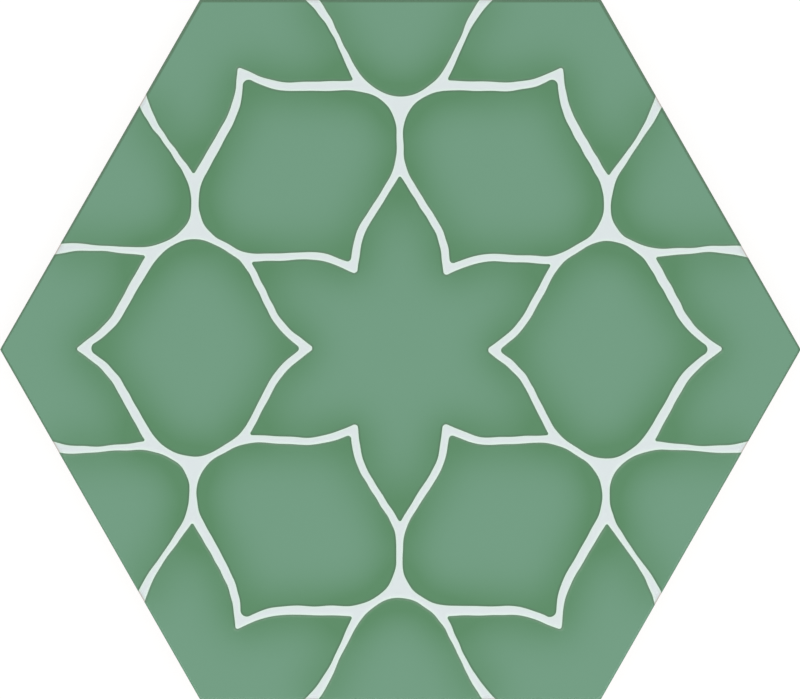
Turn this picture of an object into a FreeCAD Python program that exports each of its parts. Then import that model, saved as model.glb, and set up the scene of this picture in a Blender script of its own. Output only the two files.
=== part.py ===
import FreeCAD, Part
import math
import os
import Sketcher
from collections import namedtuple

# Hexagon floor tile with a raised-line star and petal pattern, fired as one piece.
# Lengths are in millimetres and angles in degrees. The tile lies on its back with its face up: +Z is up,
# the origin is the middle of the back, +X points at a corner of the hexagon and +Y at the middle of a side.
#
# The pattern is drawn as the middles of its raised lines, and repeats every 60 degrees about the centre.
# Out is a distance from the centre along a petal's own axis, and side is a distance to the side of it.
# The bars between the petals run on the axes halfway between those of the petals. Each sunk cell is an
# outline that keeps half a line's width clear of the middles round it.

SIZES = [
    # Body of the tile
    ("across_corners", 200, "hexagon, from corner to corner"),
    ("across_flats", 175, "hexagon, from side to side"),
    ("thickness", 9, "back to the tops of the raised lines"),
    ("arris_bevel", 1, "bevel of the face's outer edge"),
    ("back_bevel", 0.8, "bevel of the back's outer edge"),
    # Relief of the face
    ("relief_depth", 0.6, "cell floors below the tops of the raised lines"),
    ("relief_draft", 25, "lean of the raised lines' flanks"),
    ("star_line", 1.95, "width of the line between star and petal"),
    ("bar_line", 1.75, "width of the bar between two petals"),
    ("crown_line", 1.6, "width of the line between petal and edge cell"),
    ("petal_line", 2.3, "width of the line between petal and corner cell"),
    ("branch_line", 1.65, "width of the branch that runs to the tile's side"),
    # Middles of the raised lines, each corner placed from the one before it
    ("notch_out", 23, "inner point of the line round a petal"),
    ("knee_run", 7.2, "notch to the bend of the star line, outwards"),
    ("knee_side", 5.6, "bend of the star line, beside the petal's axis"),
    ("bar_start", 45, "inner end of the bar, on the bar's axis"),
    ("bar_length", 15, "inner end of the bar to its outer end"),
    ("shoulder_run", 5, "bar's outer end to the petal's widest corner, outwards"),
    ("shoulder_side", 10, "petal's widest corner, beside the bar's axis"),
    ("haunch_run", 10.6, "widest corner to the bend of the outer flank, outwards"),
    ("haunch_side", 5.5, "bend of the outer flank, beside the petal's axis"),
    ("tip_run", 7.2, "bend of the outer flank to the outer point, outwards"),
    ("bow_run", 19.4, "widest corner to the bend of the branch, outwards"),
    ("bow_rise", 1.5, "widest corner to the bend of the branch, sideways"),
    ("branch_run", 29, "bend of the branch to its end past the tile, outwards"),
    ("branch_fall", 5, "bend of the branch to its end past the tile, sideways"),
    ("branch_flare", 5, "widening of the branch by its end"),
    # Roundings of the cells' corners
    ("point_round", 0.9, "points where two halves of a petal's line meet"),
    ("sharp_round", 0.5, "points of the star and inner corners of the corner cells"),
    ("knee_round", 15, "middle of the star line at its bend"),
    ("bar_start_round", 13, "petal beside the bar's inner end"),
    ("crown_round", 9, "petal beside the bar's outer end"),
    ("shoulder_round", 12, "petal's widest corner"),
    ("haunch_round", 18, "middle of the outer flank at its bend"),
    ("bow_round", 30, "branch at its bend"),
    ("edge_cell_round", 9, "round inner end of an edge cell"),
    # Keyed back
    ("back_rim", 8, "plain margin round the back"),
    ("key_depth", 0.6, "depth of the keying grooves"),
    ("key_width", 4, "width of a keying groove at the back"),
    ("key_pitch", 10, "from one keying groove to the next"),
    ("key_draft", 20, "lean of the grooves' walls"),
]
REPEATS = 6
PETAL_STEP = 360 / REPEATS
BAR_ANGLE = PETAL_STEP / 2
ARM_REACH = 3.2

NODE = "hexagon_tile"
UP = FreeCAD.Vector(0, 0, 1)
ORIGIN = (-1, 1)
X_AXIS = -1
Y_AXIS = -2
START = 1
END = 2
NEAR = 1e-4


class Size:
    """A length worked out from the sheet: its value now, and the expression that keeps it up to date."""

    def __init__(self, value, text):
        self.value = value
        self.text = text

    def joined(self, sign, other, value):
        return Size(value, f"({self.text} {sign} {other.text})")

    def __add__(self, other):
        other = as_size(other)
        return self.joined("+", other, self.value + other.value)

    def __sub__(self, other):
        other = as_size(other)
        return self.joined("-", other, self.value - other.value)

    def __mul__(self, other):
        other = as_size(other)
        return self.joined("*", other, self.value * other.value)

    def __truediv__(self, other):
        other = as_size(other)
        return self.joined("/", other, self.value / other.value)

    def __neg__(self):
        return Size(-self.value, f"(-1 * {self.text})")


def as_size(number):
    return number if isinstance(number, Size) else Size(number, repr(number))


doc = FreeCAD.newDocument("HexagonTile")
sheet = doc.addObject("Spreadsheet::Sheet", "Sizes")
for row, (alias, value, note) in enumerate(SIZES, start=1):
    sheet.set(f"A{row}", alias)
    sheet.set(f"B{row}", str(value))
    sheet.set(f"C{row}", note)
    sheet.setAlias(f"B{row}", alias)
doc.recompute()

size = {alias: Size(float(sheet.get(alias)), f"Sizes.{alias}") for alias, value, note in SIZES}
half = {alias: length / 2 for alias, length in size.items()}

ZERO = as_size(0)

# One corner of a cell's outline: where the middles of the lines turn, how the outline is rounded there, and
# how far the outline keeps clear of the middle that leads on outwards.
Corner = namedtuple("Corner", "out side rounding clear", defaults=(None, None))

body = doc.addObject("PartDesign::Body", "Tile")
body.Label = NODE
body.Placement = FreeCAD.Placement(FreeCAD.Vector(0, 0, 0), FreeCAD.Rotation())


def origin_feature(role):
    """Plane or axis of the body's own origin."""
    return next(item for item in body.Origin.OriginFeatures if item.Role == role)


def flat_sketch(name, height=ZERO, turned=0):
    """Empty sketch parallel to the back, at a height, with its own X axis turned about the centre."""
    sketch = body.newObject("Sketcher::SketchObject", name)
    sketch.AttachmentSupport = [(origin_feature("XY_Plane"), "")]
    sketch.MapMode = "FlatFace"
    sketch.AttachmentOffset = FreeCAD.Placement(FreeCAD.Vector(), FreeCAD.Rotation(turned, 0, 0))
    sketch.setExpression("AttachmentOffset.Base.z", height.text)
    return sketch


class Drawing:
    """Constraints of one sketch, gathered so that they are added and bound to the sheet together."""

    def __init__(self, sketch):
        self.sketch = sketch
        self.constraints = []
        self.bound = []

    def line(self, start, end, guide=False):
        return self.sketch.addGeometry(Part.LineSegment(start, end), guide)

    def tie(self, kind, *where):
        self.constraints.append(Sketcher.Constraint(kind, *where))

    def measure(self, kind, *where_and_size):
        where, length = where_and_size[:-1], where_and_size[-1]
        self.bound.append((len(self.constraints), length))
        self.constraints.append(Sketcher.Constraint(kind, *where, length.value))

    def place(self, point, out, side):
        """Holds a point of the sketch at its distances from the centre."""
        for kind, length, axis in (("DistanceX", out, Y_AXIS), ("DistanceY", side, X_AXIS)):
            if length.value == 0:
                self.tie("PointOnObject", *point, axis)
            elif length.value > 0:
                self.measure(kind, *ORIGIN, *point, length)
            else:
                self.measure(kind, *point, *ORIGIN, -length)

    def polygon(self, corners, guide=False):
        """Closed polygon through (out, side) corners, each held in its place."""
        points = [FreeCAD.Vector(out.value, side.value, 0) for out, side in corners]
        lines = [self.line(points[k - 1], points[k], guide) for k in range(len(points))]
        for k, (out, side) in enumerate(corners):
            self.tie("Coincident", lines[k - 1], END, lines[k], START)
            self.place((lines[k], END), out, side)
        # The line that ends at a corner is listed first, so the run that leads on from it is the next one.
        return lines[1:] + lines[:1]

    def finish(self):
        self.sketch.addConstraint(self.constraints)
        for place, length in self.bound:
            self.sketch.setExpression(f"Constraints[{place}]", length.text)
        doc.recompute()


def crossing(point_a, way_a, point_b, way_b):
    """Where two straight lines in the sketch cross."""
    gap = point_b - point_a
    along = (gap.x * way_b.y - gap.y * way_b.x) / (way_a.x * way_b.y - way_a.y * way_b.x)
    return point_a + way_a * along


def whole_loop(side_corners):
    """Corners all round a cell, from those on one side of its axis, listed from the centre outwards."""
    first_side = [corner._replace(side=-corner.side) for corner in side_corners]
    if side_corners[-1].side.value == 0:
        first_side[-1] = first_side[-1]._replace(clear=side_corners[-2].clear)
    inward_clears = [None] + [corner.clear for corner in side_corners[:-1]]
    second_side = [
        corner._replace(clear=clear)
        for corner, clear in zip(side_corners, inward_clears)
        if corner.side.value != 0
    ]
    return first_side + second_side[::-1]


def cell_outline(sketch, corners, keep_guide=False):
    """Straight runs beside the middles of the lines, joined by tangent arcs, anticlockwise round the cell."""
    count = len(corners)
    drawing = Drawing(sketch)
    guides = drawing.polygon([(corner.out, corner.side) for corner in corners], not keep_guide)

    points = [FreeCAD.Vector(corner.out.value, corner.side.value, 0) for corner in corners]
    ways = [(points[(k + 1) % count] - points[k]).normalize() for k in range(count)]
    inward = [UP.cross(way) for way in ways]
    clears = [corner.clear.value if corner.clear else 0 for corner in corners]
    bases = [points[k] + inward[k] * clears[k] for k in range(count)]
    turns = [crossing(bases[k - 1], ways[k - 1], bases[k], ways[k]) for k in range(count)]

    # Each rounding takes up the same length of the runs before and after its corner.
    swings = [math.atan2(ways[k - 1].cross(ways[k]).z, ways[k - 1].dot(ways[k])) for k in range(count)]
    radii = [corner.rounding.value if corner.rounding else 0 for corner in corners]
    taken = [radii[k] * math.tan(abs(swings[k]) / 2) for k in range(count)]
    starts = [turns[k] + ways[k] * taken[k] for k in range(count)]
    ends = [turns[k] - ways[k - 1] * taken[k] for k in range(count)]
    runs = [drawing.line(starts[k], ends[(k + 1) % count]) for k in range(count)]

    for k, corner in enumerate(corners):
        if corner.clear:
            drawing.tie("Parallel", runs[k], guides[k])
            drawing.measure("Distance", guides[k], START, runs[k], corner.clear)
        else:
            drawing.tie("PointOnObject", guides[k], START, runs[k])
            drawing.tie("PointOnObject", guides[k], END, runs[k])
        if not corner.rounding:
            drawing.tie("Coincident", runs[k - 1], END, runs[k], START)
            continue
        # An arc runs anticlockwise from its start, so one that bends the other way has its ends swapped.
        left = swings[k] > 0
        centre = starts[k] + inward[k] * math.copysign(radii[k], swings[k])
        spokes = [point - centre for point in ((ends[k], starts[k]) if left else (starts[k], ends[k]))]
        angles = [math.atan2(spoke.y, spoke.x) for spoke in spokes]
        arc = sketch.addGeometry(Part.ArcOfCircle(Part.Circle(centre, UP, radii[k]), *angles), False)
        drawing.tie("Tangent", runs[k - 1], END, arc, START if left else END)
        drawing.tie("Tangent", arc, END if left else START, runs[k], START)
        drawing.measure("Radius", arc, corner.rounding)
    drawing.finish()


def seen_across(corner):
    """The same corner as seen along the bar's axis, or back again: the two axes swap by a mirror between them."""
    cosine, sine = math.cos(math.radians(BAR_ANGLE)), math.sin(math.radians(BAR_ANGLE))
    out = corner.out * cosine + corner.side * sine
    side = corner.out * sine - corner.side * cosine
    return corner._replace(out=out, side=side)


def sunk_cell(name, axis_angle, side_corners):
    """Cell with leaning walls, sunk into the face, the same on both sides of its axis."""
    sketch = flat_sketch(f"{name}Outline", size["thickness"], axis_angle)
    cell_outline(sketch, whole_loop(side_corners))
    cell = body.newObject("PartDesign::Pocket", f"{name}Cell")
    cell.Profile = sketch
    cell.setExpression("Length", size["relief_depth"].text)
    cell.setExpression("TaperAngle", (-size["relief_draft"]).text)
    doc.recompute()
    return cell


def ring_of(cell):
    """The same cell, repeated round the centre."""
    ring = body.newObject("PartDesign::PolarPattern", f"{cell.Name}s")
    ring.Originals = [cell]
    ring.Axis = (origin_feature("Z_Axis"), [""])
    ring.Angle = 360
    ring.Occurrences = REPEATS
    body.Tip = ring
    doc.recompute()


def outer_edges(feature, height):
    """Names of a feature's edges that are still those of the slab at one height."""
    middles = [edge.CenterOfMass for edge in slab.Shape.Edges if abs(edge.CenterOfMass.z - height) < NEAR]
    return [
        f"Edge{k}"
        for k, edge in enumerate(feature.Shape.Edges, start=1)
        if any(edge.CenterOfMass.distanceToPoint(middle) < NEAR for middle in middles)
    ]


# Slab with a bevelled arris, through which the relief's cells then run out
hexagon = [
    Corner(-half["across_corners"], ZERO, None, size["back_rim"]),
    Corner(-half["across_corners"] / 2, half["across_flats"], None, size["back_rim"]),
    Corner(half["across_corners"] / 2, half["across_flats"], None, size["back_rim"]),
    Corner(half["across_corners"], ZERO),
]
outline = flat_sketch("SlabOutline")
drawing = Drawing(outline)
drawing.polygon([(corner.out, corner.side) for corner in whole_loop(hexagon)])
drawing.finish()
slab = body.newObject("PartDesign::Pad", "Slab")
slab.Profile = outline
slab.setExpression("Length", size["thickness"].text)
doc.recompute()
arris = body.newObject("PartDesign::Chamfer", "Arris")
arris.Base = (slab, outer_edges(slab, size["thickness"].value))
arris.setExpression("Size", size["arris_bevel"].text)
doc.recompute()

# Keyed back: grooves across the whole tile, then the plain margin filled in again round them
groove_count = 2 * math.floor(
    (half["across_flats"] - size["back_rim"] - half["key_width"]).value / size["key_pitch"].value + 0.5
)
first_groove = size["key_pitch"] * ((groove_count - 1) / 2)
groove_outline = flat_sketch("KeyOutline")
drawing = Drawing(groove_outline)
near_side, far_side = -first_groove - half["key_width"], -first_groove + half["key_width"]
ends = (-half["across_corners"], half["across_corners"])
drawing.polygon([(ends[0], near_side), (ends[1], near_side), (ends[1], far_side), (ends[0], far_side)])
drawing.finish()
groove = body.newObject("PartDesign::Pocket", "KeyGroove")
groove.Profile = groove_outline
groove.Reversed = True
groove.setExpression("Length", size["key_depth"].text)
groove.setExpression("TaperAngle", (-size["key_draft"]).text)
doc.recompute()
grooves = body.newObject("PartDesign::LinearPattern", "KeyGrooves")
grooves.Originals = [groove]
grooves.Direction = (origin_feature("Y_Axis"), [""])
grooves.Occurrences = groove_count
grooves.setExpression("Length", (first_groove * 2).text)
body.Tip = grooves
doc.recompute()

margin_outline = flat_sketch("MarginOutline")
cell_outline(margin_outline, whole_loop(hexagon), keep_guide=True)
margin = body.newObject("PartDesign::Pad", "Margin")
margin.Profile = margin_outline
margin.setExpression("Length", size["key_depth"].text)
doc.recompute()
bevel = body.newObject("PartDesign::Chamfer", "BackBevel")
bevel.Base = (margin, outer_edges(margin, 0))
bevel.setExpression("Size", size["back_bevel"].text)
body.Tip = bevel
doc.recompute()

# Corners of the lines' middles, each named for its place on the line round a petal. The bar's own corners
# and the shoulder are placed along the bar's axis, and the others along the petal's.
notch = Corner(size["notch_out"], ZERO)
knee = Corner(notch.out + size["knee_run"], size["knee_side"])
bar_start_on_axis = Corner(size["bar_start"], ZERO)
bar_end_on_axis = Corner(bar_start_on_axis.out + size["bar_length"], ZERO)
shoulder_on_axis = Corner(bar_end_on_axis.out + size["shoulder_run"], size["shoulder_side"])
bar_start = seen_across(bar_start_on_axis)
bar_end = seen_across(bar_end_on_axis)
shoulder = seen_across(shoulder_on_axis)
haunch = Corner(shoulder.out + size["haunch_run"], size["haunch_side"])
tip = Corner(haunch.out + size["tip_run"], ZERO)
bow = Corner(shoulder.out + size["bow_run"], shoulder.side + size["bow_rise"])
branch_middle = Corner(bow.out + size["branch_run"], bow.side - size["branch_fall"])
branch_low = branch_middle._replace(side=branch_middle.side - half["branch_flare"])
branch_high = branch_middle._replace(side=branch_middle.side + half["branch_flare"])
point, sharp = size["point_round"], size["sharp_round"]

# Star: six arms, whose sides run on inwards past the notches until the arms cover the middle
reach = Corner(notch.out - size["knee_run"] * ARM_REACH, -size["knee_side"] * ARM_REACH)
arm = [
    seen_across(reach)._replace(clear=half["star_line"]),
    seen_across(knee)._replace(rounding=size["knee_round"] - half["star_line"], clear=half["star_line"]),
    bar_start_on_axis._replace(rounding=sharp),
]
ring_of(sunk_cell("Star", BAR_ANGLE, arm))

petal = [
    notch._replace(rounding=point, clear=half["star_line"]),
    knee._replace(rounding=size["knee_round"] + half["star_line"], clear=half["star_line"]),
    bar_start._replace(rounding=size["bar_start_round"], clear=half["bar_line"]),
    bar_end._replace(rounding=size["crown_round"], clear=half["crown_line"]),
    shoulder._replace(rounding=size["shoulder_round"], clear=half["petal_line"]),
    haunch._replace(rounding=size["haunch_round"] + half["petal_line"], clear=half["petal_line"]),
    tip._replace(rounding=point),
]
ring_of(sunk_cell("Petal", 0, petal))

corner_cell = [
    tip._replace(rounding=point, clear=half["petal_line"]),
    haunch._replace(rounding=size["haunch_round"] - half["petal_line"], clear=half["petal_line"]),
    shoulder._replace(rounding=sharp, clear=half["branch_line"]),
    bow._replace(rounding=size["bow_round"] - half["branch_line"], clear=half["branch_line"]),
    branch_low,
]
ring_of(sunk_cell("Corner", 0, corner_cell))

edge_cell = [
    bar_end_on_axis._replace(rounding=size["edge_cell_round"], clear=half["crown_line"]),
    shoulder_on_axis._replace(rounding=size["edge_cell_round"], clear=half["branch_line"]),
    seen_across(bow)._replace(rounding=size["bow_round"] + half["branch_line"], clear=half["branch_line"]),
    seen_across(branch_high),
]
ring_of(sunk_cell("Edge", BAR_ANGLE, edge_cell))

failed = [item.Name for item in doc.Objects if {"Invalid", "Error"} & set(item.State)]
if failed:
    raise RuntimeError(f"these features failed: {failed}")
if body.Shape.isNull() or not body.Shape.isValid():
    raise RuntimeError("the tile's shape is not valid")
if len(body.Shape.Solids) != 1:
    raise RuntimeError(f"the tile should be one solid, not {len(body.Shape.Solids)}")

os.makedirs("parts", exist_ok=True)
body.Shape.exportStep(f"parts/{body.Label}.step")
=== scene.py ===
"""Hexagonal floor tile: a pressed body with raised lines, and pools of green glaze between them.

Lengths in the functions that work out shapes are in millimetres, with the tile's face up, the middle of its
back at the origin and a corner of the hexagon on the X axis. A mesh is turned into metres as it is made.
"""

import math
from collections import namedtuple
from types import SimpleNamespace

import bmesh
import bpy
import numpy as np
from bpy.props import FloatProperty, FloatVectorProperty, IntProperty, PointerProperty
from bpy.types import Operator, Panel, PropertyGroup
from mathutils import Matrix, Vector
from mathutils.geometry import delaunay_2d_cdt


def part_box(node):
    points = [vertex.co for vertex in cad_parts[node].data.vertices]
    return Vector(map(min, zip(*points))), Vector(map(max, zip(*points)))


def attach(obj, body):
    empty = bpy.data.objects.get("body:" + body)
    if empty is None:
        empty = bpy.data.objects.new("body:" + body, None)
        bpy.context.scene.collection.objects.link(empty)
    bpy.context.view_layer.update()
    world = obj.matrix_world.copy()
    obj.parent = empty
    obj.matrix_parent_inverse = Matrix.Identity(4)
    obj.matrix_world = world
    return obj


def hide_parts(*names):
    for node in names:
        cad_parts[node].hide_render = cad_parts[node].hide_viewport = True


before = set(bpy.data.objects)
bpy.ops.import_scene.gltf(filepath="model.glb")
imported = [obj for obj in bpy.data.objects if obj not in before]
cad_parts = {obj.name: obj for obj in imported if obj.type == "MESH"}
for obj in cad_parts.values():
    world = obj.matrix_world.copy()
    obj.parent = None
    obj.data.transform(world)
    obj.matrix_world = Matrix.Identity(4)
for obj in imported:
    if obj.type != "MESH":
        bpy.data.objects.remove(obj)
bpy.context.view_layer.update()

bl_info = {
    "name": "Hexagon floor tile",
    "version": (1, 0, 0),
    "blender": (4, 5, 0),
    "location": "View3D > Sidebar > Tile",
    "description": "Raised-line floor tile with pooled glaze",
    "category": "Add Mesh",
}

MM = 0.001
NODE = "hexagon_tile"
BODY = "root"

TILE_LOW, TILE_HIGH = (np.array(corner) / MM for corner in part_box(NODE))
ACROSS_CORNERS, ACROSS_FLATS, THICKNESS = (float(length) for length in TILE_HIGH - TILE_LOW)

REPEATS = 6
PETAL_STEP = 360 / REPEATS
BAR_ANGLE = PETAL_STEP / 2


# Settings

def length(name, default, description):
    """A length's setting, with its default in millimetres."""
    return FloatProperty(
        name=name, description=description, default=default * MM,
        subtype="DISTANCE", unit="LENGTH", precision=5,
    )


def moves(name, description, *pairs):
    """A small move along X and Y for each joint of one kind, round the tile, with defaults in millimetres."""
    default = [part * MM for pair in pairs for part in pair]
    return FloatVectorProperty(
        name=name, description=description, default=default, size=len(default), unit="LENGTH", precision=5
    )


def share(name, default, description):
    return FloatProperty(name=name, description=description, default=default, min=0, max=1, subtype="FACTOR")


def linear_level(level):
    """A screen's level, from 0 to 255, as a share of full light."""
    level = level / 255
    return level / 12.92 if level <= 0.04045 else ((level + 0.055) / 1.055) ** 2.4


def screen_colour(name, default, description):
    """A colour's setting, with its default as red, green and blue on a screen, from 0 to 255."""
    linear = [linear_level(level) for level in default]
    return FloatVectorProperty(
        name=name, description=description, default=linear, size=3, min=0, max=1, subtype="COLOR"
    )


class TilePattern(PropertyGroup):
    """Middles of the raised lines, beside the petal on the X axis and the bar 30 degrees from it."""

    notch_out: length("Notch", 23.02, "Inner point of the line round a petal, from the centre")
    knee_out: length("Knee, outwards", 30, "Bend of the star line, along the petal's axis")
    knee_side: length("Knee, sideways", 5.36, "Bend of the star line, beside the petal's axis")
    bar_start: length("Bar's start", 44.95, "Inner end of the bar, on the bar's axis")
    bar_end: length("Bar's end", 59.78, "Outer end of the bar, on the bar's axis")
    shoulder_out: length("Shoulder, outwards", 61.57, "Petal's widest corner, along its axis")
    shoulder_side: length("Shoulder, sideways", 24.06, "Petal's widest corner, beside its axis")
    haunch_out: length("Haunch, outwards", 72.48, "Bend of the petal's outer flank, along its axis")
    haunch_side: length("Haunch, sideways", 5.06, "Bend of the petal's outer flank, beside its axis")
    tip_out: length("Tip", 79.86, "Outer point of the line round a petal, from the centre")
    waist_out: length("Waist, outwards", 74.5, "Edge cell's bulge at the branch, along the petal's axis")
    waist_side: length("Waist, sideways", 25.08, "Edge cell's bulge at the branch, beside the petal's axis")
    bow_out: length("Bow, outwards", 83.07, "Bend of the branch, along the petal's axis")
    bow_side: length("Bow, sideways", 25.91, "Bend of the branch, beside the petal's axis")
    branch_out: length("Branch's end, outwards", 110, "End of the branch past the tile's side")
    branch_side: length("Branch's end, sideways", 18.52, "End of the branch, beside the petal's axis")


class TileHand(PropertyGroup):
    """How the hand-drawn lines stray from the regular pattern."""

    whole: moves("Whole pattern", "Where the whole pattern sits on the tile", (-0.1, 0.2))
    notch: moves(
        "Notches", "Inner points of the petals",
        (0.1, -0.4), (0.3, -0.4), (0, 0.1), (0, 0.1), (0, 0), (0, 0),
    )
    bar_start: moves(
        "Bars' starts", "Inner ends of the bars",
        (0.3, -0.5), (0, 0), (0.3, 0.1), (-0.1, 0.1), (0, 0), (-0.2, 0.1),
    )
    bar_end: moves(
        "Bars' ends", "Outer ends of the bars",
        (0, -0.4), (0, 1.5), (0.7, 0), (0.1, 0.6), (-0.5, -0.1), (-0.4, -0.3),
    )
    shoulder: moves(
        "Shoulders", "Widest corners of the petals, two to each",
        (-0.1, 0.2), (0.3, -0.4), (0.2, -0.4), (0.2, 0.2), (0, 0.2), (0.4, 0.2),
        (0, 0), (-0.1, 0), (0, 0), (-0.2, -0.1), (0.1, -0.1), (-0.3, -0.1),
    )
    tip: moves(
        "Tips", "Outer points of the petals",
        (-0.4, -0.1), (0.1, 0.1), (0.1, 0.1), (0.1, 0), (-0.5, 0.1), (-0.4, 0),
    )
    branch_exit: moves(
        "Branches", "Outer parts of the branches, two to each petal",
        (0.1, 0.1), (0.1, -0.5), (0.4, -0.4), (-0.5, 0), (0.2, -0.1), (0.1, -0.2),
        (0.1, 0.2), (0.1, 0), (-0.3, 0.1), (0.1, -0.2), (0.1, -0.2), (0.1, -0.1),
    )
    reach: length("Reach", 7, "How far a joint's move carries along the lines")
    wander: length("Wander", 0.05, "How far the lines wander besides")
    wander_seed: IntProperty(name="Wander's seed", description="Draws the lines by another hand", default=4)


class TileLineWidths(PropertyGroup):
    """Widths of the raised lines where they turn."""

    notch: length("Notch", 2.1, "Star line at the notch")
    knee: length("Knee", 1.92, "Star line at its bend")
    star: length("Star's point", 1.9, "Star line at the bar")
    bar_inner: length("Bar, inner end", 1.98, "Bar between two petals, at its inner end")
    bar_outer: length("Bar, outer end", 1.5, "Bar between two petals, at its outer end")
    crown_inner: length("Crown, inner end", 1.85, "Line between petal and edge cell, at the bar")
    crown_outer: length("Crown, outer end", 1.75, "Line between petal and edge cell, at the branch")
    shoulder: length("Shoulder", 2.6, "Petal's outer flank at the branch's root")
    haunch: length("Haunch", 2.2, "Petal's outer flank at its bend")
    tip: length("Tip", 1.6, "Petal's outer flank at the outer point")
    branch_root: length("Branch's root", 2.15, "Branch where it leaves the petal")
    waist: length("Waist", 1.3, "Branch at the edge cell's bulge")
    bow: length("Bow", 1.25, "Branch at its bend")
    branch_end: length("Branch's end", 7.1, "Branch at its end past the tile's side, by its edge cell")
    branch_flare: length("Branch's flare", 8, "The same, by its corner cell")


class TileRoundings(PropertyGroup):
    """Radii of the cells' corners."""

    point: length("Notch", 0.86, "Inner point of a petal")
    tip: length("Tip", 1.7, "Outer point of a petal")
    tip_outside: length("Tip's outside", 0.55, "Corner cell at the outer point of a petal")
    knee: length("Knee", 20.7, "Middle of the star line at its bend")
    bar_start: length("Bar's start", 13.4, "Petal beside the bar's inner end")
    bar_end: length("Bar's end", 10.8, "Petal beside the bar's outer end")
    shoulder: length("Shoulder", 14.9, "Petal's widest corner")
    haunch: length("Haunch", 23.9, "Middle of the outer flank at its bend")
    waist: length("Waist", 60, "Branch at the edge cell's bulge")
    bow: length("Bow", 43.4, "Branch at its bend")
    edge_bottom: length("Edge cell's bottom", 8.85, "Round inner end of an edge cell")
    edge_side: length("Edge cell's side", 17.2, "Side of the edge cell's inner end")
    sharp: length("Sharp corners", 0.45, "Points of the star and inner corners of the corner cells")


class TileRelief(PropertyGroup):
    """Heights above the back, and the shapes of the edges."""

    dome: length("Line's dome", 0.2, "How much lower a raised line's shoulders are than its crest")
    dome_width: length("Dome's width", 1.2, "From a raised line's edge to where it is level")
    clay_floor: length("Clay floor", 8.2, "Clay under the glaze, above the back")
    foot: length("Line's foot", 0.26, "From the edge of a raised line's top to its foot")
    pool_level: length("Pool's level", 8.4, "Glaze in the middle of a cell, above the back")
    pool_bottom: length("Pool's bottom", 8.15, "Underside of the glaze, above the back")
    meniscus: length("Meniscus", 0.27, "How far the glaze climbs the raised lines")
    meniscus_reach: length("Meniscus' reach", 0.8, "How far from the line the glaze starts to climb")
    arris: length("Arris", 1.0, "Bevel of the face's outer edge")
    pool_inset: length("Pool's inset", 0.22, "Glaze's edge in from the tile's side")
    back_bevel: length("Back bevel", 0.8, "Bevel of the back's outer edge")
    back_rim: length("Back margin", 8, "Plain margin round the back")
    key_depth: length("Key depth", 0.6, "Depth of the keying grooves")
    key_width: length("Key width", 4, "Width of a keying groove at the back")
    key_pitch: length("Key pitch", 10, "From one keying groove to the next")
    key_draft: length("Key draft", 0.22, "How much narrower each side of a groove is at its bed")
    key_count: IntProperty(name="Keys", description="Number of keying grooves", default=16)


class TileColours(PropertyGroup):
    """Colours and finishes."""

    open_glaze: screen_colour("Glaze, open", (115, 161, 133), "Glaze in the middle of a cell")
    # Darker green, mixed in by how much raised line lies near each point, within the shade's reach
    deep_glaze: screen_colour("Glaze, deep", (92, 143, 103), "Glaze where it lies thick beside the lines")
    # Painted shade: a darker green band at the foot of the raised lines
    foot_glaze: screen_colour("Glaze, at the lines", (92, 126, 100), "Glaze right at the foot of the lines")
    # Thin glaze over the arris, with painted shade on it that is stronger on the back side
    rim_glaze: screen_colour("Glaze, arris", (90, 126, 98), "Glaze that has run thin over the tile's arris")
    line: screen_colour("Raised line", (228, 237, 238), "Pale glaze over the raised lines")
    # A greyer tone where a raised line runs over the arris
    line_end: screen_colour("Raised line's end", (204, 198, 192), "Where it wears thin over the arris")
    line_rim: screen_colour("Raised line's rim", (227, 247, 235), "The same beside the green glaze")
    clay: screen_colour("Fired clay", (205, 186, 160), "Bare clay of the sides and back")
    clay_dark: screen_colour("Clay specks", (150, 122, 96), "Darker grains in the clay")
    glaze_roughness: share("Glaze roughness", 0.16, "Roughness of the green glaze")
    line_roughness: share("Line roughness", 0.32, "Roughness of the raised lines' glaze")
    clay_roughness: share("Clay roughness", 0.88, "Roughness of the bare clay")
    shade_reach: length("Shade's reach", 5, "How far the deep colour spreads from the lines")


class TileStage(PropertyGroup):
    """Camera and light."""

    lens: FloatProperty(name="Lens", description="Focal length in millimetres", default=250, unit="CAMERA")
    view_width: length("View's width", 199.75, "Width of the face that the camera sees")
    view_x: length("View's centre, X", -0.1, "Where the camera looks, along X")
    view_y: length("View's centre, Y", 0, "Where the camera looks, along Y")
    lamp_share: share("Lamps' share", 0.5, "Share of the light that comes from the lamps")
    key_share: share("Key's share", 0.58, "Share of the lamps' light that comes from the key side")
    lamp_distance: length("Lamps' distance", 900, "From the tile to each lamp")
    lamp_size: length("Lamps' size", 600, "Width of each lamp")
    floor_width: length("Floor's width", 3000, "Width of the floor")


class TileSettings(PropertyGroup):
    """All the tile's settings."""

    pattern: PointerProperty(type=TilePattern)
    hand: PointerProperty(type=TileHand)
    widths: PointerProperty(type=TileLineWidths)
    roundings: PointerProperty(type=TileRoundings)
    relief: PointerProperty(type=TileRelief)
    colours: PointerProperty(type=TileColours)
    stage: PointerProperty(type=TileStage)


def in_mm(group):
    """A group's settings, with its lengths in millimetres."""
    values = {}
    for name in group.__annotations__:
        value = getattr(group, name)
        in_metres = group.bl_rna.properties[name].unit == "LENGTH"
        values[name] = np.array(value) / MM if in_metres else value
    return SimpleNamespace(**values)


# Flat shapes, as arrays of points

# How far past the edge of a raised line's top the glaze meets its flank
CONTACT = 0.055
# Longest steps along an outline
STEP = 0.5
ARC_STEP = math.radians(11)
# Points this near are one, and a clipped outline has no shorter side than this
MERGE = 1e-5
SHORTEST_SIDE = 100 * MERGE
# Most of a straight run that the roundings at its two ends may take
ROUNDED_SHARE = 0.99

# One corner of a cell's outline: where the lines' middles turn, how the outline is rounded there, and half
# the width of the line before and after it. On the cell's own axis both half widths are the same.
Corner = namedtuple("Corner", "spot rounding before after")


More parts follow.
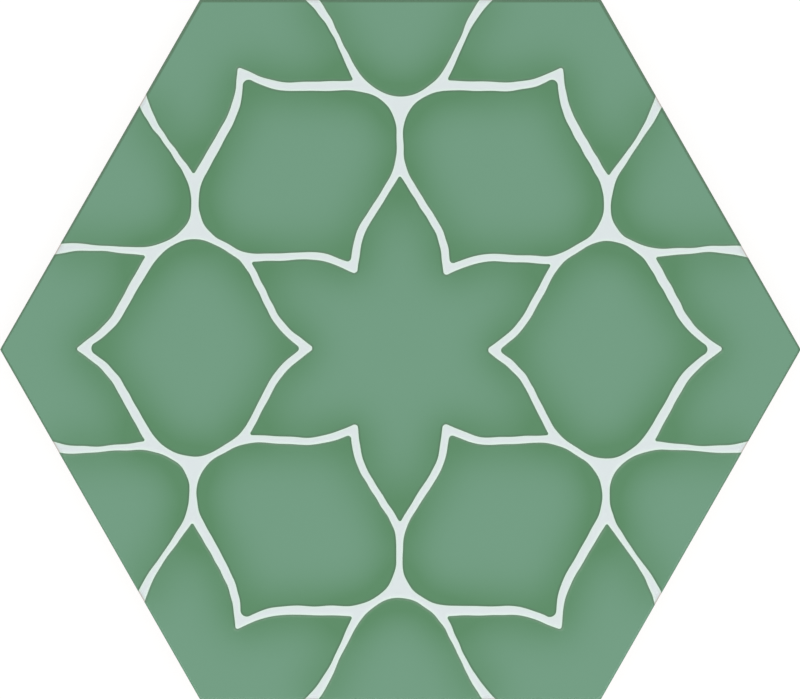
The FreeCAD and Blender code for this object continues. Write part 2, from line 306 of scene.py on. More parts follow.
def rotated(points, degrees):
    turn = math.radians(degrees)
    cosine, sine = math.cos(turn), math.sin(turn)
    return np.asarray(points, float) @ np.array([[cosine, sine], [-sine, cosine]])


def across_petal(spot):
    return np.array([spot[0], -spot[1]])


def across_bar(spot):
    return rotated(across_petal(spot), PETAL_STEP)


def following(rows):
    """The next row for each row, round a loop."""
    return np.roll(rows, -1, axis=0)


def previous(rows):
    return np.roll(rows, 1, axis=0)


def unit_rows(rows):
    return rows / np.linalg.norm(rows, axis=1)[:, None]


def left_of(ways):
    return np.stack([-ways[:, 1], ways[:, 0]], axis=1)


def both_sides(left, mirror):
    """All corners of a cell, anticlockwise, from those on the left of its axis, listed outwards."""
    lower, upper = [], []
    for corner in left:
        before = corner.after if corner.before is None else corner.before
        after = corner.before if corner.after is None else corner.after
        image = mirror(corner.spot)
        lower.append(corner._replace(spot=image, before=before, after=after))
        if not np.allclose(image, corner.spot):
            upper.append(corner._replace(before=after, after=before))
    return lower + upper[::-1]


def rounded_outline(corners):
    """Close points along an outline: straight runs beside the lines' middles, joined by arcs."""
    spots = np.array([corner.spot for corner in corners])
    before = np.array([max(corner.before - CONTACT, 0) for corner in corners])
    after = np.array([max(corner.after - CONTACT, 0) for corner in corners])
    inward = left_of(unit_rows(following(spots) - spots))
    starts = spots + inward * after[:, None]
    ends = following(spots) + inward * following(before)[:, None]
    ways = unit_rows(ends - starts)
    inward = left_of(ways)

    came = previous(ways)
    gaps = starts - previous(starts)
    turned = came[:, 0] * ways[:, 1] - came[:, 1] * ways[:, 0]
    reach = (gaps[:, 0] * ways[:, 1] - gaps[:, 1] * ways[:, 0]) / turned
    turns = previous(starts) + came * reach[:, None]
    swings = np.arctan2(turned, (came * ways).sum(axis=1))
    # A rounding that would run past the next one is drawn smaller.
    taken = [(corner.rounding or 0) * math.tan(abs(swing) / 2) for corner, swing in zip(corners, swings)]
    room = np.linalg.norm(following(turns) - turns, axis=1)
    shares = np.minimum(1, ROUNDED_SHARE * room / np.maximum(taken + following(taken), CONTACT))
    shares = np.minimum(shares, previous(shares))

    tangents = []
    by_corner = zip(corners, turns, swings, came, ways, inward, shares)
    for corner, turn, swing, way_in, way_out, side, kept in by_corner:
        radius = (corner.rounding or 0) * kept
        reached = radius * math.tan(abs(swing) / 2)
        centre = turn + way_out * reached + side * math.copysign(radius, swing)
        tangents.append((turn - way_in * reached, turn + way_out * reached, centre, swing, radius))

    points = []
    for k, (enter, leave, centre, swing, radius) in enumerate(tangents):
        parts = max(math.ceil(abs(swing) * radius / STEP), math.ceil(abs(swing) / ARC_STEP)) if radius else 0
        spoke = enter - centre
        points += [centre + rotated(spoke, math.degrees(swing) * part / parts) for part in range(parts)]
        points.append(leave)
        run = tangents[(k + 1) % len(tangents)][0] - leave
        parts = math.ceil(np.linalg.norm(run) / STEP)
        points += [leave + run * part / parts for part in range(1, parts)]
    return np.array(points)


def drawn_cells(settings):
    """Outlines of the sunk cells by kind, a list of loops each, in order round the centre."""
    pattern, rounding = in_mm(settings.pattern), in_mm(settings.roundings)
    half = SimpleNamespace(**{name: width / 2 for name, width in vars(in_mm(settings.widths)).items()})
    bar = rotated((1, 0), BAR_ANGLE)
    bar_start, bar_end = bar * pattern.bar_start, bar * pattern.bar_end
    notch, knee, shoulder, haunch, tip, waist, bow, branch_end = (
        np.array([getattr(pattern, name + "_out"), getattr(pattern, name + "_side", 0)])
        for name in ("notch", "knee", "shoulder", "haunch", "tip", "waist", "bow", "branch")
    )
    # A little past the tile's side
    branch_exit = bow + (branch_end - bow) / 3

    inside_knee = Corner(knee, rounding.knee - half.knee, half.knee, half.knee)
    arm = [
        Corner(notch, rounding.point, half.notch, half.notch),
        inside_knee,
        Corner(bar_start, rounding.sharp, half.star, half.star),
        inside_knee._replace(spot=across_bar(knee)),
    ]
    star = [
        corner._replace(spot=rotated(corner.spot, PETAL_STEP * k)) for k in range(REPEATS) for corner in arm
    ]
    petal = [
        Corner(notch, rounding.point, None, half.notch),
        Corner(knee, rounding.knee + half.knee, half.knee, half.knee),
        Corner(bar_start, rounding.bar_start, half.star, half.bar_inner),
        Corner(bar_end, rounding.bar_end, half.bar_outer, half.crown_inner),
        Corner(shoulder, rounding.shoulder, half.crown_outer, half.shoulder),
        Corner(haunch, rounding.haunch + half.haunch, half.haunch, half.haunch),
        Corner(tip, rounding.tip, half.tip, None),
    ]
    corner_cell = [
        Corner(tip, rounding.tip_outside, None, half.tip),
        Corner(haunch, rounding.haunch - half.haunch, half.haunch, half.haunch),
        Corner(shoulder, rounding.sharp, half.shoulder, half.branch_root),
        Corner(bow, rounding.bow - half.bow, half.bow, half.bow),
        Corner(branch_end, None, half.branch_flare, 0),
    ]
    edge_cell = [
        Corner(bar_end, rounding.edge_bottom, None, half.crown_inner),
        Corner(across_bar(shoulder), rounding.edge_side, half.crown_outer, half.branch_root),
        Corner(across_bar(waist), rounding.waist, half.waist, half.waist),
        Corner(across_bar(bow), rounding.bow + half.bow, half.bow, half.bow),
        Corner(across_bar(branch_end), None, half.branch_end, 0),
    ]
    loops = {
        "petals": rounded_outline(both_sides(petal, across_petal)),
        "corners": rounded_outline(both_sides(corner_cell, across_petal)),
        "edges": rounded_outline(both_sides(edge_cell, across_bar)),
    }
    cells = {kind: [rotated(loop, PETAL_STEP * k) for k in range(REPEATS)] for kind, loop in loops.items()}
    cells["star"] = [rounded_outline(star)]
    joints = {
        "notch": [notch],
        "bar_start": [bar_start],
        "bar_end": [bar_end],
        "shoulder": [across_petal(shoulder), shoulder],
        "tip": [tip],
        "branch_exit": [across_petal(branch_exit), branch_exit],
    }
    strayed = drawn_by_hand(in_mm(settings.hand), joints)
    return {kind: [strayed(loop) for loop in loops] for kind, loops in cells.items()}


def drawn_by_hand(hand, joints):
    """Moves points as the hand-drawn lines stray: with the joints near them, and along small waves."""
    spots = [
        rotated(joint, PETAL_STEP * k) for kind in joints.values() for k in range(REPEATS) for joint in kind
    ]
    moved = np.concatenate([getattr(hand, name) for name in joints]).reshape(-1, 2)
    # The slack lets a move fade out where no joint is near.
    slack = 0.05
    # Waves 16 to 4.5 mm long, whose sum is about twice as high as one of them
    waves, slowest, fastest, sum_height = 7, 0.4, 1.4, 2
    random = np.random.default_rng(hand.wander_seed)
    turns = random.uniform(0, 2 * math.pi, waves)
    fronts = np.stack([np.cos(turns), np.sin(turns)]) * np.linspace(slowest, fastest, waves)
    phases = random.uniform(0, 2 * math.pi, (2, waves))

    def strayed(points):
        squares = ((points[:, None] - np.array(spots)) ** 2).sum(axis=2)
        pull = np.exp(-squares / (2 * hand.reach ** 2))
        with_joints = pull @ moved / (pull.sum(axis=1) + slack)[:, None] + hand.whole
        waved = np.sin((points @ fronts)[:, None] + phases).sum(axis=2) * hand.wander / sum_height
        return points + with_joints + waved

    return strayed


def hexagon(inset=0):
    """Corners of the tile's outline, anticlockwise, moved in from its sides."""
    corners = np.array([(1, 0), (0.5, 1), (-0.5, 1), (-1, 0), (-0.5, -1), (0.5, -1)])
    corners = corners * (ACROSS_CORNERS / 2, ACROSS_FLATS / 2)
    inward = left_of(unit_rows(following(corners) - corners))
    both = inward + previous(inward)
    return corners + both * (inset / (both * inward).sum(axis=1))[:, None]


def hexagon_ring(inset):
    """The same outline with as many points on each side, whatever the inset."""
    corners = hexagon(inset)
    parts = np.arange(SIDE_POINTS)[:, None] / SIDE_POINTS
    sides = zip(corners, following(corners))
    return np.vstack([start + (end - start) * parts for start, end in sides])


def side_distance(points):
    """How far in from the tile's sides each point is."""
    corners = hexagon()
    inward = left_of(unit_rows(following(corners) - corners))
    return np.min([(points - corner) @ way for corner, way in zip(corners, inward)], axis=0)


def subdivided(loop, step):
    """The same closed loop, with points added where two are more than a step apart."""
    points = []
    for start, end in zip(loop, following(loop)):
        parts = max(1, math.ceil(np.linalg.norm(end - start) / step - MERGE))
        points += [start + (end - start) * part / parts for part in range(parts)]
    return np.array(points)


def clipped(loop, inset):
    """The part of a loop that is at least an inset from the tile's sides."""
    corners = hexagon(inset)
    for start, end in zip(corners, following(corners)):
        inward = left_of((end - start)[None])[0]
        depths = (loop - start) @ inward
        kept = []
        for k, depth in enumerate(depths):
            last = depths[k - 1]
            if last * depth < 0:
                kept.append(loop[k - 1] + (loop[k] - loop[k - 1]) * last / (last - depth))
            if depth >= 0:
                kept.append(loop[k])
        loop = np.array(kept)
    apart = np.linalg.norm(loop - previous(loop), axis=1) > SHORTEST_SIDE
    return loop[apart]


# How many points are measured at once
BATCH = 4000


def inside(points, loop):
    """Whether each point is inside a closed loop."""
    ends = following(loop)
    run, rise = (ends - loop).T
    rise = np.where(rise == 0, MERGE, rise)
    found = [np.empty(0, bool)]
    for first in range(0, len(points), BATCH):
        x, y = points[first:first + BATCH].T[..., None]
        crossed = ((loop[:, 1] > y) != (ends[:, 1] > y)) & (x < loop[:, 0] + (y - loop[:, 1]) * run / rise)
        found.append(crossed.sum(axis=1) % 2 == 1)
    return np.concatenate(found)


def loop_distance(points, loop):
    """Distance of each point from a closed loop: above nought inside it and below outside."""
    run, rise = (following(loop) - loop).T
    squares = run ** 2 + rise ** 2
    found = [np.empty(0)]
    for first in range(0, len(points), BATCH):
        x, y = points[first:first + BATCH].T[..., None]
        x, y = x - loop[:, 0], y - loop[:, 1]
        along = np.clip((x * run + y * rise) / squares, 0, 1)
        found.append(np.sqrt(((x - along * run) ** 2 + (y - along * rise) ** 2).min(axis=1)))
    return np.concatenate(found) * np.where(inside(points, loop), 1, -1)


def line_gap(points, loops):
    """Distance of each point from the nearest raised line's edge, below nought on a line."""
    # Given to points that are far from every cell
    margin = 5
    gaps = np.full(len(points), -float(margin))
    for loop in loops:
        near = ((points > loop.min(axis=0) - margin) & (points < loop.max(axis=0) + margin)).all(axis=1)
        gaps[near] = np.maximum(gaps[near], loop_distance(points[near], loop))
    return gaps


def line_cover(points, loops, reach):
    """Share of the face round each point that raised lines cover, with less weight further off."""
    pitch = 1.5
    across = np.arange(-ACROSS_CORNERS / 2, ACROSS_CORNERS / 2, pitch)
    up = np.arange(-ACROSS_FLATS / 2, ACROSS_FLATS / 2, pitch)
    grid = np.stack(np.meshgrid(across, up), axis=-1).reshape(-1, 2) + pitch / 2
    grid = grid[side_distance(grid) > 0]
    covered = np.clip(0.5 - line_gap(grid, loops) / pitch, 0, 1)
    grid, covered = grid[covered > 0], covered[covered > 0]
    weight = pitch ** 2 / (2 * math.pi * reach ** 2)
    found = []
    for first in range(0, len(points), BATCH):
        some = points[first:first + BATCH]
        squares = (some ** 2).sum(axis=1)[:, None] + (grid ** 2).sum(axis=1) - 2 * some @ grid.T
        found.append(np.exp(-squares / (2 * reach ** 2)) @ covered * weight)
    return np.concatenate(found)


def spread(points, gap):
    """Points at least a gap apart: each is kept unless one kept before it is too near."""
    kept, taken = [], {}
    for point in points:
        column, row = int(point[0] // gap), int(point[1] // gap)
        near = [
            other
            for x in (column - 1, column, column + 1)
            for y in (row - 1, row, row + 1)
            for other in taken.get((x, y), ())
        ]
        if all((point[0] - x) ** 2 + (point[1] - y) ** 2 >= gap ** 2 for x, y in near):
            taken.setdefault((column, row), []).append(tuple(point))
            kept.append(point)
    return np.array(kept).reshape(-1, 2)


def ring_points(loop, distance, gap, measure):
    """Points at a distance in from a loop, or out from it if below nought, where nothing is nearer."""
    tangents = following(loop) - previous(loop)
    points = loop + left_of(unit_rows(tangents)) * distance
    nearly_all = 0.97
    return spread(points[measure(points) >= nearly_all * abs(distance)], gap)


def sides_of(face):
    return [frozenset(side) for side in zip(face, face[1:] + face[:1])]


def filled(points, loop_size, lines=()):
    """The inside of the loop that the first points make, as places and triangles."""
    edges = [(k, (k + 1) % loop_size) for k in range(loop_size)] + [(int(a), int(b)) for a, b in lines]
    places, _, faces, origins, *_ = delaunay_2d_cdt([Vector(point) for point in points], edges, [], 0, MERGE)
    number = {first: place for place, firsts in enumerate(origins) for first in firsts}
    rim = {frozenset((number[k], number[(k + 1) % loop_size])) for k in range(loop_size)}
    sides = {}
    for k, face in enumerate(faces):
        for side in sides_of(face):
            sides.setdefault(side, []).append(k)
    # The triangles fill the points' hull: those reached from its edge without crossing the rim go.
    reached = [side for side, users in sides.items() if len(users) == 1 and side not in rim]
    outside = set()
    while reached:
        for k in sides[reached.pop()]:
            if k not in outside:
                outside.add(k)
                reached += [side for side in sides_of(faces[k]) if side not in rim]
    places = np.array([tuple(place) for place in places])
    return places, [tuple(face) for k, face in enumerate(faces) if k not in outside]


# Heights

def smooth_min(first, second, blend):
    """The lower of two heights, with the crease between them rounded."""
    share_of_first = np.clip(0.5 + 0.5 * (second - first) / blend, 0, 1)
    mixed = second + (first - second) * share_of_first
    return mixed - blend * share_of_first * (1 - share_of_first)


# Rounding between the face and its bevel, and how steep a line's dome is at its edge
ARRIS_BLEND = 0.12
DOME_POWER = 2.2


def under_arris(heights, points, relief):
    """Heights of the face, brought down along the bevel at the tile's side."""
    bevel = THICKNESS - relief.arris + side_distance(points)
    return smooth_min(heights, bevel, ARRIS_BLEND)


def clay_height(points, loops, relief):
    gaps = line_gap(points, loops)
    fall = 1 - np.clip(-gaps / relief.dome_width, 0, 1)
    crest = THICKNESS - relief.dome * fall ** DOME_POWER
    flank = np.clip(gaps / relief.foot, 0, 1)
    return under_arris(crest + (relief.clay_floor - crest) * flank, points, relief)


def glaze_height(points, loop, relief):
    gaps = np.maximum(loop_distance(points, loop), 0)
    heights = relief.pool_level + relief.meniscus * np.exp(-gaps / relief.meniscus_reach)
    return under_arris(heights, points, relief)


# Meshes

# Points of two sheets this near are welded, and sharper edges than these are creases
WELD = 0.003
BODY_CREASE = math.radians(38)
POOL_CREASE = math.radians(50)


def raised(places, heights):
    return np.column_stack([places, np.broadcast_to(heights, len(places))])


def wall(lower, upper):
    """Quads between two rings of as many points, as a sheet."""
    count = len(lower)
    faces = [(k, (k + 1) % count, count + (k + 1) % count, count + k) for k in range(count)]
    return np.vstack([lower, upper]), faces


def placed(name, data):
    """A new object in the scene."""
    item = bpy.data.objects.new(name, data)
    bpy.context.scene.collection.objects.link(item)
    return item


def add_piece(name, sheets, material, attributes, crease):
    """A closed mesh in metres, welded from sheets of points and faces. Attributes are worked out by place."""
    points = np.vstack([sheet_points for sheet_points, _ in sheets])
    faces, first = [], 0
    for sheet_points, sheet_faces in sheets:
        faces += [tuple(first + corner for corner in face) for face in sheet_faces]
        first += len(sheet_points)
    mesh = bpy.data.meshes.new(name)
    mesh.from_pydata((points * MM).tolist(), [], faces)
    work = bmesh.new()
    work.from_mesh(mesh)
    bmesh.ops.remove_doubles(work, verts=work.verts, dist=WELD * MM)
    bmesh.ops.recalc_face_normals(work, faces=work.faces)
    loose = [edge.verts[0].co / MM for edge in work.edges if not edge.is_manifold]
    if loose or not work.faces:
        raise RuntimeError(f"{name} isn't closed: {len(loose)} open edges, first at {loose[:1]}")
    work.to_mesh(mesh)
    work.free()
    mesh.shade_smooth()
    mesh.set_sharp_from_angle(angle=crease)
    places = np.empty(len(mesh.vertices) * 3)
    mesh.vertices.foreach_get("co", places)
    places = places.reshape(-1, 3)[:, :2] / MM
    for attribute, worked_out in attributes.items():
        mesh.attributes.new(attribute, "FLOAT", "POINT").data.foreach_set("value", worked_out(places))
    mesh.materials.append(material)
    piece = placed(name, mesh)
    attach(piece, BODY)
    return piece


# Points along each side of the tile, and heights of the rings down its sides, as shares
SIDE_POINTS = 132
SIDE_SHARES = (0.86, 0.7, 0.52, 0.34, 0.16, 0)
# Rings of points in from the tile's side
ARRIS_RINGS = (0.1, 0.22, 0.36, 0.55, 0.8, 1.05, 1.4)
# Rings in from a raised line's edge, and the gap between points along each
LINE_RINGS = ((0.1, 0.3), (0.25, 0.3), (0.45, 0.32), (0.7, 0.34), (1.0, 0.36), (1.35, 0.4), (1.8, 0.45))
# Rings in from a pool's rim, and the gap along each: at least so much, and a share of the way from the last
POOL_RINGS = (0.1, 0.2, 0.32, 0.48, 0.7, 1.0, 1.4, 2, 2.9, 4.1, 5.6, 7.5, 9.8, 12.5, 15.5, 19, 23, 27)
POOL_GAP, POOL_GAP_SHARE = 0.36, 0.8


def body_top(loops, relief):
    """Face of the clay, with the raised lines on it."""
    outline = hexagon_ring(0)
    points, lines = [outline], []
    first = len(outline)
    nearest = ARRIS_RINGS[0] / 2
    for loop in loops:
        held = side_distance(loop) > nearest
        numbers = first + np.cumsum(held) - 1
        lines += [(numbers[k - 1], numbers[k]) for k in range(len(loop)) if held[k - 1] and held[k]]
        points.append(loop[held])
        first += held.sum()

    def gap(places):
        return np.abs(line_gap(places, loops))

    extra = [hexagon_ring(inset) for inset in ARRIS_RINGS]
    extra += [ring_points(loop, relief.foot, STEP / 2, gap) for loop in loops]
    for distance, apart in LINE_RINGS:
        ring = [ring_points(loop, -distance, apart, gap) for loop in loops]
        extra.append(spread(np.vstack(ring), apart))
    extra = np.vstack(extra)
    extra = extra[(side_distance(extra) > nearest) & (gap(extra) > nearest)]
    points.append(spread(extra, ARRIS_RINGS[0]))
    places, faces = filled(np.vstack(points), len(outline), lines)
    return outline, (raised(places, clay_height(places, loops, relief)), faces)


def groove_loops(relief):
    """Mouths and beds of the keying grooves, cut off square with the tile's sides."""
    mouths, beds = [], []
    for k in range(relief.key_count):
        middle = (k - (relief.key_count - 1) / 2) * relief.key_pitch
        for loops, draft in ((mouths, 0), (beds, relief.key_draft)):
            reach = relief.key_width / 2 - draft
            far, low, high = ACROSS_CORNERS, middle - reach, middle + reach
            strip = np.array([(-far, low), (far, low), (far, high), (-far, high)])
            loops.append(clipped(strip, relief.back_rim + draft))
    return mouths, beds


def body_back(outline, relief):
    """Back of the clay, with its keying grooves."""
    mouths, beds = groove_loops(relief)
    points, lines, first = [outline], [], len(outline)
    for loop in mouths + beds:
        lines += [(first + k, first + (k + 1) % len(loop)) for k in range(len(loop))]
        points.append(loop)
        first += len(loop)
    places, faces = filled(np.vstack(points), len(outline), lines)
    sunk = np.max([loop_distance(places, loop) for loop in beds], axis=0) > -relief.key_draft / 2
    return raised(places, np.where(sunk, relief.key_depth, 0)), faces


def pool_sheets(loop, relief):
    """Top, rim and underside of one pool of glaze."""
    rim = subdivided(clipped(loop, relief.pool_inset), STEP)

    def from_rim(places):
        return loop_distance(places, rim)

    rings = [rim]
    for last, distance in zip((0, *POOL_RINGS), POOL_RINGS):
        apart = max(POOL_GAP, POOL_GAP_SHARE * (distance - last))
        rings.append(ring_points(rim, distance, apart, from_rim))
    places, faces = filled(np.vstack(rings), len(rim))
    under_places, under_faces = filled(rim, len(rim))
    return [
        (raised(places, glaze_height(places, loop, relief)), faces),
        wall(raised(rim, relief.pool_bottom), raised(rim, glaze_height(rim, loop, relief))),
        (raised(under_places, relief.pool_bottom), under_faces),
    ]


# Materials

def math_methods(operation):
    """A Wire's method that adds a Math node, and its reflected form."""
    def method(self, other):
        return self.shading.node("Math", {"operation": operation}, {0: self, 1: other})

    def reflected(self, other):
        return self.shading.node("Math", {"operation": operation}, {0: other, 1: self})

    return method, reflected


class Wire:
    """One output of a node. Sums on it add Math nodes."""

    def __init__(self, shading, socket):
        self.shading, self.socket = shading, socket

    __add__, __radd__ = math_methods("ADD")
    __sub__, __rsub__ = math_methods("SUBTRACT")
    __mul__, __rmul__ = math_methods("MULTIPLY")
    __truediv__, __rtruediv__ = math_methods("DIVIDE")


class Shading:
    """The nodes of one material or world."""

    def __init__(self, owner):
        owner.use_nodes = True
        self.tree = owner.node_tree
        self.tree.nodes.clear()

    def node(self, kind, settings=None, inputs=None, output=0):
        """Adds a node: its settings are set first, then each input gets a value or a link."""
        made = self.tree.nodes.new("ShaderNode" + kind)
        for name, value in (settings or {}).items():
            setattr(made, name, value)
        for name, value in (inputs or {}).items():
            if isinstance(value, Wire):
                self.tree.links.new(value.socket, made.inputs[name])
            else:
                made.inputs[name].default_value = value
        return Wire(self, made.outputs[output])

    def mixed(self, first, second, amount):
        """One colour turning into another as the amount goes from 0 to 1."""
        first, second = (end if isinstance(end, Wire) else (*end, 1) for end in (first, second))
        factor, colour_a, colour_b, result = 0, 6, 7, 2
        inputs = {factor: amount, colour_a: first, colour_b: second}
        return self.node("Mix", {"data_type": "RGBA"}, inputs, result)

    def kept_in_range(self, value):
        return self.node("Clamp", inputs={"Value": value})

    def between(self, value, start, end):
        """How far a value has come from a start to an end, from 0 to 1."""
        return self.kept_in_range((value - start) / (end - start))

    def attribute(self, name):
        return self.node("Attribute", {"attribute_name": name}, output="Fac")

    def place(self, axis):
        """How far along one of the tile's axes a point is, in metres."""
        spot = self.node("TexCoord", output="Object")
        return self.node("SeparateXYZ", inputs={"Vector": spot}, output=axis)

    def towards_shaded_side(self):
        """From -1 at the tile's front side to 1 at its back side, where the painted shade on the arris is
        strongest.
        """
        return self.place("Y") / (ACROSS_FLATS / 2 * MM)

    def grain(self, feature, detail=2):
        """Noise from 0 to 1 whose features are about so many millimetres wide."""
        place = self.node("TexCoord", output="Object")
        inputs = {"Vector": place, "Scale": 1 / (feature * MM), "Detail": detail}
        return self.node("TexNoise", inputs=inputs)

    def unevenness(self, feature, amount):
        """Noise round nought, up and down by half the amount at most."""
        return (self.grain(feature) - 0.5) * amount

    def finish(self, surface, kind="Material"):
        made = self.tree.nodes.new("ShaderNodeOutput" + kind)
        self.tree.links.new(surface.socket, made.inputs["Surface"])


def new_material(name):
    material = bpy.data.materials.new(name)
    return material, Shading(material)


def glaze_material(colours):
    """Green glaze: deeper beside the raised lines, with painted shade at their foot, thin over the arris with
    painted shade there, glossy and very slightly uneven.
    """
    material, shading = new_material("green_glaze")
    deepest_cover, foot_shade_strength, shade_lean = 0.2, 0.65, 0.35
    patches = shading.unevenness(feature=14, amount=0.05)
    deep = shading.kept_in_range(shading.attribute("line_cover") / deepest_cover + patches)
    base = shading.mixed(colours.open_glaze, colours.deep_glaze, deep)
    # Painted shade: a darker band in the glaze at the foot of the raised lines
    foot = shading.between(shading.attribute("line_gap"), start=0.6, end=0.35)
    base = shading.mixed(base, colours.foot_glaze, foot * foot_shade_strength)
    # Thin glaze and painted shade over the arris: the painted shade reaches further in towards the back side
    side = shading.attribute("side_gap") - shading.towards_shaded_side() * shade_lean
    arris = shading.between(side, start=0.62, end=0.27)
    base = shading.mixed(base, colours.rim_glaze, arris)
    rough = shading.kept_in_range(colours.glaze_roughness + shading.unevenness(feature=6, amount=0.08))
    ripple = shading.grain(feature=2.4, detail=1)
    bump = shading.node("Bump", inputs={"Strength": 0.25, "Distance": 0.01 * MM, "Height": ripple})
    surface = shading.node("BsdfPrincipled", inputs={"Base Color": base, "Roughness": rough, "Normal": bump})
    shading.finish(surface)
    return material


def clay_material(colours):
    """Fired clay with pale glaze on its raised lines and runs of glaze down its sides, whose green holds
    painted shade that grows towards the back side.
    """
    material, shading = new_material("fired_clay")
    gap = shading.attribute("line_gap")
    height = shading.place("Z") / MM
    on_line = shading.between(gap, start=0.04, end=-0.04)
    rim = shading.between(gap, start=-0.65, end=-0.15)
    mean_foot, foot_fade = 6.6, 0.16
    long_runs = shading.unevenness(feature=9, amount=3.2)
    run_foot = mean_foot + long_runs + shading.unevenness(feature=1.5, amount=0.5)
    glazed = shading.kept_in_range((height - run_foot) / foot_fade)

    speck_strength, cloud_shade = 0.55, 0.86
    specks = shading.between(shading.grain(feature=0.7, detail=3), start=0.6, end=0.6 + 1 / 7)
    cloud = shading.between(shading.grain(feature=24), start=0.35, end=0.975)
    clouded = [level * cloud_shade for level in colours.clay]
    bare = shading.mixed(colours.clay, clouded, cloud)
    bare = shading.mixed(bare, colours.clay_dark, specks * speck_strength)
    pale = shading.mixed(colours.line, colours.line_rim, rim)
    # Greyer where a raised line runs over the arris
    over_arris = shading.between(shading.attribute("side_gap"), start=0.5, end=0.2)
    pale = shading.mixed(pale, colours.line_end, over_arris)
    # Green coat over the arris and down the sides: thin glaze and painted shade, darker towards the back side
    mean_thinness_and_shade, shade_lean, ripple = 0.7, 0.6, 0.15
    thin = shading.kept_in_range(mean_thinness_and_shade + shading.towards_shaded_side() * shade_lean)
    green = shading.mixed(colours.open_glaze, colours.rim_glaze, thin)
    coat = shading.mixed(green, pale, on_line)
    base = shading.mixed(bare, coat, glazed)
    rough = glazed * (colours.line_roughness - colours.clay_roughness) + colours.clay_roughness
    sandy = shading.grain(feature=0.35, detail=4) * (1 - glazed)
    sandy += shading.grain(feature=2.4, detail=1) * ripple
    bump = shading.node("Bump", inputs={"Strength": 0.5, "Distance": 0.12 * MM, "Height": sandy})
    surface = shading.node("BsdfPrincipled", inputs={"Base Color": base, "Roughness": rough, "Normal": bump})
    shading.finish(surface)
    return material


# Operators

class TILE_OT_press_body(Operator):
    """Makes the clay body with its raised lines and keyed back"""

    bl_idname = "floor_tile.press_body"
    bl_label = "Press the body"

    def execute(self, context):
        settings = context.scene.floor_tile
        relief = in_mm(settings.relief)
        loops = [loop for kind in drawn_cells(settings).values() for loop in kind]
        outline, top = body_top(loops, relief)
        arris_foot = clay_height(outline, loops, relief)
        reach = float(arris_foot.min()) - relief.back_bevel
        rings = [raised(outline, arris_foot)]
        rings += [raised(outline, relief.back_bevel + reach * part) for part in SIDE_SHARES]
        bevel_foot = hexagon_ring(relief.back_bevel)
        rings.append(raised(bevel_foot, 0))
        sheets = [top, body_back(bevel_foot, relief)]
        sheets += [wall(lower, upper) for upper, lower in zip(rings, rings[1:])]
        attributes = {"line_gap": lambda places: line_gap(places, loops), "side_gap": side_distance}
        material = clay_material(settings.colours)
        body = add_piece("pressed_body", sheets, material, attributes, BODY_CREASE)
        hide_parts(NODE)
        return {"FINISHED"}


class PoursGlaze:
    """Common part of the operators that pour one kind of cell."""

    def execute(self, context):
        settings = context.scene.floor_tile
        relief = in_mm(settings.relief)
        cells = drawn_cells(settings)
        loops = [loop for kind in cells.values() for loop in kind]
        sheets = [sheet for loop in cells[self.kind] for sheet in pool_sheets(loop, relief)]
        material = bpy.data.materials.get("green_glaze") or glaze_material(settings.colours)
        reach = settings.colours.shade_reach / MM
        attributes = {
            "line_cover": lambda places: line_cover(places, loops, reach),
            "line_gap": lambda places: line_gap(places, loops),
            "side_gap": side_distance,
        }
        add_piece(f"glaze_{self.kind}", sheets, material, attributes, POOL_CREASE)
        return {"FINISHED"}


class TILE_OT_pour_star(PoursGlaze, Operator):
    """Makes the pool of glaze in the star"""

    bl_idname = "floor_tile.pour_star"
    bl_label = "Pour the star"
    kind = "star"


class TILE_OT_pour_petals(PoursGlaze, Operator):
    """Makes the pools of glaze in the six petals"""

    bl_idname = "floor_tile.pour_petals"
    bl_label = "Pour the petals"
    kind = "petals"


class TILE_OT_pour_corners(PoursGlaze, Operator):
    """Makes the pools of glaze in the tile's corners"""

    bl_idname = "floor_tile.pour_corners"
    bl_label = "Pour the corners"
    kind = "corners"


class TILE_OT_pour_edges(PoursGlaze, Operator):
    """Makes the pools of glaze at the middles of the tile's sides"""

    bl_idname = "floor_tile.pour_edges"
    bl_label = "Pour the edges"
    kind = "edges"


def floor_material():
    """Pale floor that shows white and keeps the tile's shadow. From below it is clear."""
    material, shading = new_material("pale_floor")
    matt = shading.node("BsdfDiffuse", inputs={"Color": (0.9, 0.9, 0.9, 1)})
    white = shading.node("Emission", inputs={"Color": (1, 1, 1, 1), "Strength": 1.1})
    glow, more_when_seen = 0.5, 0.25
    whiteness = shading.node("LightPath", output="Is Camera Ray") * more_when_seen + glow
    upper = shading.node("MixShader", inputs={0: whiteness, 1: matt, 2: white})
    clear = shading.node("BsdfTransparent")
    from_below = shading.node("NewGeometry", output="Backfacing")
    shading.finish(shading.node("MixShader", inputs={0: from_below, 1: upper, 2: clear}))
    return material


LAMP_ELEVATION = math.radians(48)


def add_lamp(name, azimuth, stage, light_share):
    """Square lamp that gives level ground so great a share of its full brightness."""
    lamp = bpy.data.lights.new(name, "AREA")
    lamp.size = stage.lamp_size * MM
    distance = stage.lamp_distance * MM
    lamp.energy = light_share * math.pi ** 2 * distance ** 2 / math.sin(LAMP_ELEVATION)
    item = placed(name, lamp)
    turn, level = math.radians(azimuth), math.cos(LAMP_ELEVATION)
    way = Vector((math.cos(turn) * level, math.sin(turn) * level, math.sin(LAMP_ELEVATION)))
    item.location = way * distance
    item.rotation_mode = "QUATERNION"
    item.rotation_quaternion = way.to_track_quat("Z", "Y")


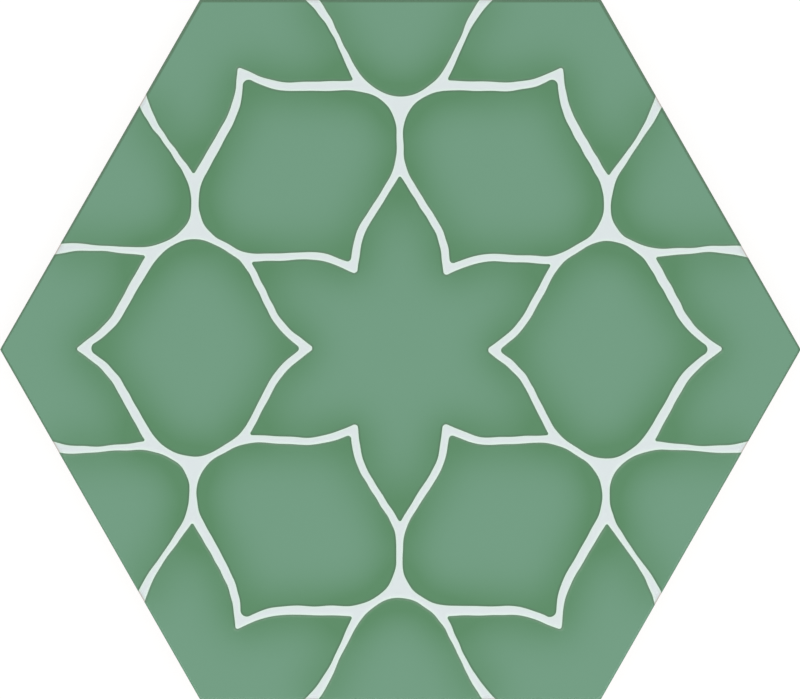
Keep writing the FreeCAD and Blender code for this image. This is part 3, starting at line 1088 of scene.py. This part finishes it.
class TILE_OT_set_stage(Operator):
    """Makes the floor, the lamps, the surroundings and the camera"""

    bl_idname = "floor_tile.set_stage"
    bl_label = "Set the stage"

    def execute(self, context):
        scene = context.scene
        stage = in_mm(scene.floor_tile.stage)
        half = stage.floor_width * MM / 2
        mesh = bpy.data.meshes.new("floor")
        drop = -0.05 * MM
        corners = [(-half, -half, drop), (half, -half, drop), (half, half, drop), (-half, half, drop)]
        mesh.from_pydata(corners, [], [(0, 1, 2, 3)])
        mesh.materials.append(floor_material())
        floor = placed("floor", mesh)

        key = stage.lamp_share * stage.key_share / 2
        fill = stage.lamp_share * (1 - stage.key_share) / 2
        add_lamp("key_lamp_right", -50, stage, key)
        add_lamp("key_lamp_left", -120, stage, key)
        add_lamp("fill_lamp_right", 55, stage, fill)
        add_lamp("fill_lamp_left", 130, stage, fill)

        world = bpy.data.worlds.new("studio")
        scene.world = world
        shading = Shading(world)
        ambient = 1 - stage.lamp_share
        path = shading.node("LightPath", output="Is Camera Ray")
        strength = path * (1 - ambient) + ambient
        surroundings = shading.node("Background", inputs={"Color": (1, 1, 1, 1), "Strength": strength})
        shading.finish(surroundings, "World")

        camera = bpy.data.cameras.new("camera")
        camera.lens = stage.lens
        item = placed("camera", camera)
        face = in_mm(scene.floor_tile.relief).pool_level
        away = stage.view_width / 2 / (camera.sensor_width / 2 / camera.lens)
        item.location = Vector((stage.view_x, stage.view_y, face + away)) * MM
        camera.clip_end = 20
        scene.camera = item
        scene.view_settings.view_transform = "Standard"
        return {"FINISHED"}


STEPS = (
    TILE_OT_press_body,
    TILE_OT_pour_star,
    TILE_OT_pour_petals,
    TILE_OT_pour_corners,
    TILE_OT_pour_edges,
    TILE_OT_set_stage,
)


class TILE_PT_panel(Panel):
    """Lists the tile's settings and the steps that make it"""

    bl_idname = "TILE_PT_panel"
    bl_label = "Floor tile"
    bl_space_type = "VIEW_3D"
    bl_region_type = "UI"
    bl_category = "Tile"

    def draw(self, context):
        settings = context.scene.floor_tile
        for group in TileSettings.__annotations__:
            box = self.layout.box()
            box.label(text=group.capitalize())
            for setting in getattr(settings, group).__annotations__:
                box.prop(getattr(settings, group), setting)
        for step in STEPS:
            self.layout.operator(step.bl_idname)


CLASSES = (
    TilePattern, TileHand, TileLineWidths, TileRoundings, TileRelief, TileColours, TileStage, TileSettings,
    *STEPS, TILE_PT_panel,
)


def register():
    for item in CLASSES:
        bpy.utils.register_class(item)
    bpy.types.Scene.floor_tile = PointerProperty(type=TileSettings)


def unregister():
    del bpy.types.Scene.floor_tile
    for item in reversed(CLASSES):
        bpy.utils.unregister_class(item)


def main():
    register()
    bpy.ops.floor_tile.press_body()
    bpy.ops.floor_tile.pour_star()
    bpy.ops.floor_tile.pour_petals()
    bpy.ops.floor_tile.pour_corners()
    bpy.ops.floor_tile.pour_edges()
    bpy.ops.floor_tile.set_stage()


if __name__ == "__main__":
    main()
